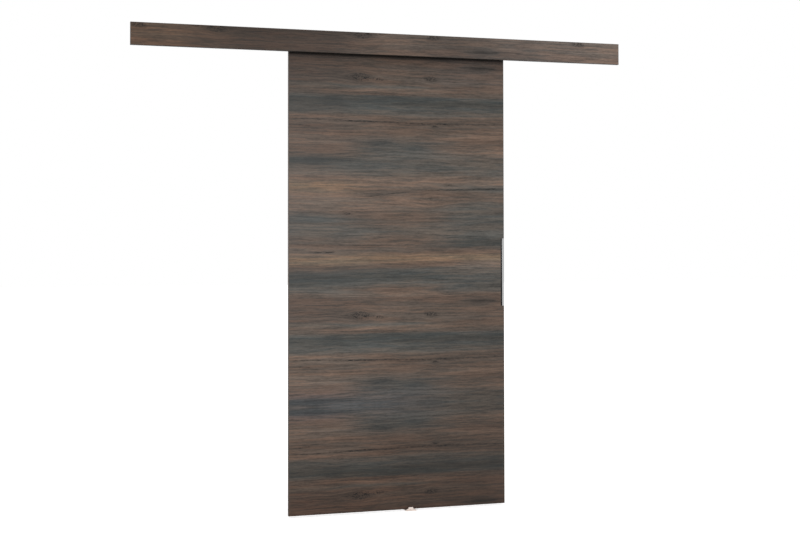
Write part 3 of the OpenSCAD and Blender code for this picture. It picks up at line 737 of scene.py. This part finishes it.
def thread(radius, depth, pitch, start, end, rows=6):
    """Rings of a screw thread from start to end, cut into a radius; a negative depth cuts outwards."""
    def groove(height):
        def at(angle):
            turn = (height / pitch - angle / 360.0) % 1.0
            return radius - depth * (1.0 - abs(2.0 * turn - 1.0))
        return at

    total = max(1, round(abs(end - start) / pitch * rows))
    heights = [start + (end - start) * i / total for i in range(total + 1)]
    return [(groove(h), h) for h in heights]


def screw_rings(size):
    """Wood screw with a countersunk cross head: its face at 0 and its tip at -length."""
    shank, head, length = size
    r = shank / 2
    cone = (head - shank) / 2
    neck = cone + 0.8
    edge = 0.15
    point = [(r * (0.82 - 0.6 * k), shank * (1.0 - k) - length) for k in (0.25, 0.5, 0.75)]
    return ([(0, -0.28 * head), (0.11 * head, -0.25 * head), (cross_recess(0.27 * head, 0.12 * head), 0),
             (head / 2 - edge, 0), (head / 2, -edge), (r, -cone), (r, -neck)]
            + thread(r, 0.16 * shank, 0.45 * shank, -neck, shank - length) + point + [(0, -length)])


def hexagon_rings(af, height):
    """Outside of a hexagon from its lower face to its upper one, with turned-down corners."""
    rim = RIM_SHARE * af
    drop = corner_drop(af)
    return [(rim, 0), (hexagonal(af), drop), (hexagonal(af), lambda angle: height - drop(angle)),
            (rim, height)]


def nut_rings(af, bore, height, pitch):
    """Hexagon nut with a countersunk thread; a closed section."""
    lead = 0.5
    return ([(bore + lead, 0)] + hexagon_rings(af, height) + [(bore + lead, height)]
            + thread(bore, -0.3 * pitch, pitch, height - lead, lead))


def rounded(r, z, radius, start, steps=3):
    """Points of a quarter-circle corner of a section, centred at (r, z)."""
    angles = [math.radians(start + 90.0 * i / steps) for i in range(steps + 1)]
    return [(r + radius * math.cos(a), z + radius * math.sin(a)) for a in angles]


def mirrored(half_section):
    """A lathed half section and its mirror image across height 0."""
    return half_section + [(r, -z) for r, z in half_section[::-1]]


def turned(node, parts, count=32, closed=False):
    """Replaces a node with lathed solids; parts are (rings, frame)."""
    bm = bmesh.new()
    for rings, place in parts:
        lathe(bm, rings, place, count, closed)
    finish_node(node, mesh_of(bm, node))


def middle_of(node):
    low, high = box_mm(node)
    return (low + high) / 2


SIDES = ("left", "right")
BRACKET_XS = [middle_of(node).x for node in sorted(NODES) if node.startswith("fascia_bracket")]
TROLLEYS = {side: middle_of("trolley_body_" + side) for side in SIDES}
AXLE_Z = TROLLEYS["left"].z

# Boards and their edge bands
for node_name in NODES:
    if node_name.startswith(("door_leaf", "fascia_board", "leaf_band", "fascia_band")):
        soften(node_name, BOARD_EDGE, shortest=10.0)
soften("edge_handle", SHEET_EDGE)

# Bent, cast and moulded parts
for node_name in NODES:
    if node_name.startswith(("wall_bracket", "fascia_bracket", "hanger_plate")):
        soften(node_name, SHEET_EDGE, shortest=1.0)
    if node_name.startswith(("end_stop", "trolley_body")):
        soften(node_name, CAST_EDGE)
soften("floor_guide", GUIDE_EDGE, segments=3)


def track_section():
    """Closed outline of the track in (y, z): rounded corners and two shallow grooves on each flank."""
    low, high = box_mm("top_track")
    half, z0, z1 = high.y, low.z, high.z
    wall = TRACK_WALL
    inner = half - wall
    outer_r, inner_r, lip_r = 1.2, 0.8, 0.5
    groove = 0.35
    lip_y = TRACK_HALF_SLOT + lip_r
    outside = rounded(lip_y, z0 + lip_r, lip_r, 180)
    outside += rounded(half - outer_r, z0 + outer_r, outer_r, 270)
    for share in (0.36, 0.64):
        middle = z0 + share * (z1 - z0)
        outside += [(half, middle - 0.9), (half - groove, middle - 0.6),
                    (half - groove, middle + 0.6), (half, middle + 0.9)]
    outside += rounded(half - outer_r, z1 - outer_r, outer_r, 0)
    inside = rounded(inner - inner_r, z1 - wall - inner_r, inner_r, 0)[::-1]
    inside += [(inner, z0 + wall)] + rounded(lip_y, z0 + wall - lip_r, lip_r, 90)

    def other_side(points):
        return [(-y, z) for y, z in points[::-1]]

    return outside + other_side(outside) + other_side(inside) + inside


def bored(mesh, cutter):
    """The mesh with the cutter's shape taken away."""
    body, tool = (bpy.data.objects.new(name, m) for name, m in (("bored", mesh), ("cutter", cutter)))
    for thing in (body, tool):
        bpy.context.scene.collection.objects.link(thing)
    step = body.modifiers.new("bore", "BOOLEAN")
    step.object = tool
    step.operation = "DIFFERENCE"
    step.solver = "EXACT"
    done = bpy.data.meshes.new_from_object(body.evaluated_get(bpy.context.evaluated_depsgraph_get()))
    for thing in (body, tool):
        bpy.data.objects.remove(thing)
    return done


def build_track():
    """Extrudes the track's section and bores its bolt holes."""
    low, high = box_mm("top_track")
    section = track_section()
    bm = bmesh.new()
    ends = [[bm.verts.new(Vector((x, y, z)) * MM) for y, z in section] for x in (low.x, high.x)]
    for i in range(len(section)):
        j = (i + 1) % len(section)
        bm.faces.new((ends[0][i], ends[0][j], ends[1][j], ends[1][i]))
    bm.faces.new(ends[0][::-1])
    bm.faces.new(ends[1])
    bmesh.ops.recalc_face_normals(bm, faces=bm.faces)
    cutter = bmesh.new()
    for x in BRACKET_XS:
        lathe(cutter, [(0, -5), (TRACK_BORE, -5), (TRACK_BORE, 5), (0, 5)], axis_frame((x, 0, high.z)))
    finish_node("top_track", bored(mesh_of(bm, "track"), mesh_of(cutter, "bores")))


build_track()

# Wood screws
handle_low, handle_high = box_mm("edge_handle")
screw_step = (handle_high.z - handle_low.z - 2 * HANDLE_SCREW_END) / 2
turned("handle_screws", [
    (screw_rings(HANDLE_SCREW),
     axis_frame((handle_low.x + HANDLE_WALL, 0, handle_low.z + HANDLE_SCREW_END + i * screw_step), "X"))
    for i in range(3)])
plate_top = box_mm("hanger_screws")[1].z
turned("hanger_screws", [
    (screw_rings(HANGER_SCREW), axis_frame((TROLLEYS[side].x + way * inset, 0, plate_top)))
    for side in SIDES for way in (-1, 1) for inset in HANGER_SCREW_INSETS])
screw_face = box_mm("fascia_screws")[1].y
bracket_low = box_mm("fascia_bracket_1")[0].z
turned("fascia_screws", [
    (screw_rings(FASCIA_SCREW), axis_frame((x, screw_face, bracket_low + rise), "Y"))
    for x in BRACKET_XS for rise in FASCIA_SCREW_RISES])

# Track bolts and nuts, M6
low, high = box_mm("track_bolts")
bolt_h = high.z - low.z
bolt_rings = ([(0, 0), (4.5, 0), (4.9, 0.25), (5.0, 0.7), (5.0, 2.0), (4.8, 2.2), (3.0, 2.2), (3.0, 4.0)]
              + thread(3.0, 0.5, 1.0, 4.0, bolt_h - 0.6) + [(2.4, bolt_h), (0, bolt_h)])
turned("track_bolts", [(bolt_rings, axis_frame((x, 0, low.z))) for x in BRACKET_XS])
nut_low = box_mm("track_nuts")[0].z
turned("track_nuts", [(nut_rings(10.0, 3.05, 5.0, 1.0), axis_frame((x, 0, nut_low))) for x in BRACKET_XS],
       count=36, closed=True)

# Grub screws of the end stops, each with a hexagon socket in its lower end
low, high = box_mm("stop_screws")
grub_h = high.z - low.z
grub_rings = ([(0, grub_h), (1.6, grub_h), (2.5, grub_h - 0.8)]
              + thread(2.5, 0.42, 0.8, grub_h - 0.8, 0.5)
              + [(2.1, 0.0), (hexagonal(2.5), 0.0), (hexagonal(2.5), 2.4), (0, 2.5)])
stop_faces = {"left": box_mm("end_stop_left")[1].x, "right": box_mm("end_stop_right")[0].x}
outward = {"left": -1, "right": 1}
turned("stop_screws", [(grub_rings, axis_frame((stop_faces[side] + outward[side] * inset, 0, low.z)))
                       for side in SIDES for inset in STOP_SCREW_INSETS], count=24)

# Rubber buffers
buffer_rings = ([(0, -6.0)] + rounded(4.5, -5.0, 1.0, 270)
                + [(5.5, -0.3), (5.2, 0), (2.5, 0), (2.5, 5.2), (2.2, 5.5), (0, 5.5)])
for side, axis in (("left", "-X"), ("right", "X")):
    turned("stop_buffer_" + side, [(buffer_rings, axis_frame((stop_faces[side], 0, AXLE_Z), axis))])

# Hanging bolts and their lock nuts, M8
nut_low = box_mm("lock_nuts")[0].z
turned("lock_nuts", [(nut_rings(13.0, 4.05, 5.0, BOLT_PITCH), axis_frame((TROLLEYS[side].x, 0, nut_low)))
                     for side in SIDES], count=48, closed=True)
for side in SIDES:
    node_name = "hanging_bolt_" + side
    low, high = box_mm(node_name)
    length = high.z - low.z
    rings = ([(0, 0)] + hexagon_rings(13.0, 5.0) + [(4.0, 5.0), (4.0, 7.0)]
             + thread(4.0, 0.6, BOLT_PITCH, 7.0, length - 1.0) + [(3.1, length), (0, length)])
    turned(node_name, [(rings, axis_frame((TROLLEYS[side].x, 0, low.z)))], count=48)

# Axles with riveted ends, then wheels and bearings with their lips and shields, as sections (radius, height)
for side in SIDES:
    node_name = "trolley_axles_" + side
    half = box_mm(node_name)[1].y
    rivet = [(0, half), (1.5, half - 0.03), (2.5, half - 0.15), (3.05, half - 0.4), (3.3, half - 0.7),
             (3.35, half - 0.89), (2.5, half - 0.89)]
    turned(node_name, [
        (mirrored(rivet), axis_frame((TROLLEYS[side].x + way * AXLE_OFFSET, 0, AXLE_Z), "Y"))
        for way in (-1, 1)])
wheel_half = ([(8.02, 0), (8.02, 2.52), (7.22, 2.52), (7.22, 3.3), (7.42, 3.5), (8.6, 3.5), (8.75, 3.2),
               (9.65, 3.2), (9.8, 3.5)] + rounded(10.4, 2.9, 0.6, 0)[::-1] + [(11.0, 0)])
bearing_half = [(2.53, 0), (2.53, 2.35), (2.68, 2.5), (3.83, 2.5), (3.93, 2.4), (3.93, 2.2), (4.2, 2.1),
                (5.9, 2.1), (6.2, 2.2), (6.2, 2.4), (6.3, 2.5), (7.75, 2.5), (8.0, 2.25), (8.0, 0)]
for node_name in [n for n in NODES if n.startswith(("wheel", "bearing"))]:
    half_section = wheel_half if node_name.startswith("wheel") else bearing_half
    section = half_section + [(r, -z) for r, z in half_section[-2:0:-1]]
    turned(node_name, [(section, axis_frame(middle_of(node_name), "Y"))], count=64, closed=True)


# ---------------------------------------------------------------- stage and light
FLOOR_REACH = 30.0  # metres from the middle to each side
FLOOR_WHITE = (0.85, 0.85, 0.85)
FLOOR_GLOW = 0.5
SPOT_PLACE = (-2.0, -3.6, 2.2)
SPOT_TARGET = (0.12, 0.0, 1.28)
SPOT_WATTS = 700.0
SPOT_CONE = math.radians(38)
SPOT_RADIUS = 0.5


def add_floor():
    """White floor that glows a little, so that it melts into the background."""
    corners = [(a * FLOOR_REACH, b * FLOOR_REACH, 0) for a, b in ((-1, -1), (1, -1), (1, 1), (-1, 1))]
    mesh = bpy.data.meshes.new("floor")
    mesh.from_pydata(corners, [], [(0, 1, 2, 3)])
    floor = bpy.data.objects.new("floor", mesh)
    bpy.context.scene.collection.objects.link(floor)
    s = Shader("pale_floor")
    s.set("Base Color", (*FLOOR_WHITE, 1.0))
    s.set("Roughness", 0.9)
    s.set("Specular IOR Level", 0.0)
    s.set("Emission Color", (*WHITE, 1.0))
    s.set("Emission Strength", FLOOR_GLOW)
    mesh.materials.append(s.material)


def add_spot():
    """Soft pool of light on the leaf's upper left."""
    data = bpy.data.lights.new("pool", "SPOT")
    data.energy = SPOT_WATTS
    data.spot_size = SPOT_CONE
    data.spot_blend = 1.0
    data.shadow_soft_size = SPOT_RADIUS
    light = bpy.data.objects.new("pool", data)
    light.location = SPOT_PLACE
    light.rotation_euler = (Vector(SPOT_TARGET) - Vector(SPOT_PLACE)).to_track_quat("-Z", "Y").to_euler()
    bpy.context.scene.collection.objects.link(light)


def add_world():
    world = bpy.data.worlds.new("studio")
    bpy.context.scene.world = world
    world.use_nodes = True
    background = world.node_tree.nodes["Background"]
    background.inputs["Color"].default_value = (*WHITE, 1.0)
    background.inputs["Strength"].default_value = 1.0


add_floor()
add_world()
add_spot()
bpy.context.scene.view_settings.view_transform = "Standard"
